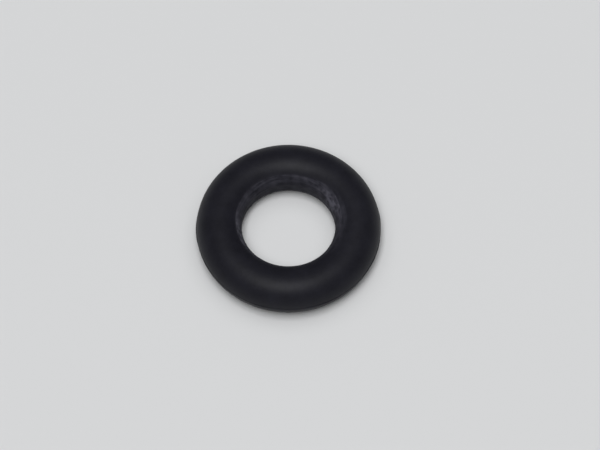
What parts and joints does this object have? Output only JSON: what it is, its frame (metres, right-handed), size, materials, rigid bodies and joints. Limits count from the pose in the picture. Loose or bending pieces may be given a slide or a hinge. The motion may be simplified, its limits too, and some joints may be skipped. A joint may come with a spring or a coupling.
{
  "type": "o-ring",
  "caption": "Round-section rubber sealing ring with a ground bore, squeezed in a groove to seal round a shaft or in a housing.",
  "frame": {"origin": "centre of the ring's bore, in its mid-plane", "axes": "+Z along the ring's axis, up when the ring lies flat; X and Y are any two directions in its plane"},
  "size_m": [0.0158, 0.0158, 0.004],
  "materials": {
    "rubber": "satin"
  },
  "bodies": {
    "root": {"o_ring": "rubber"}
  },
  "joints": []
}
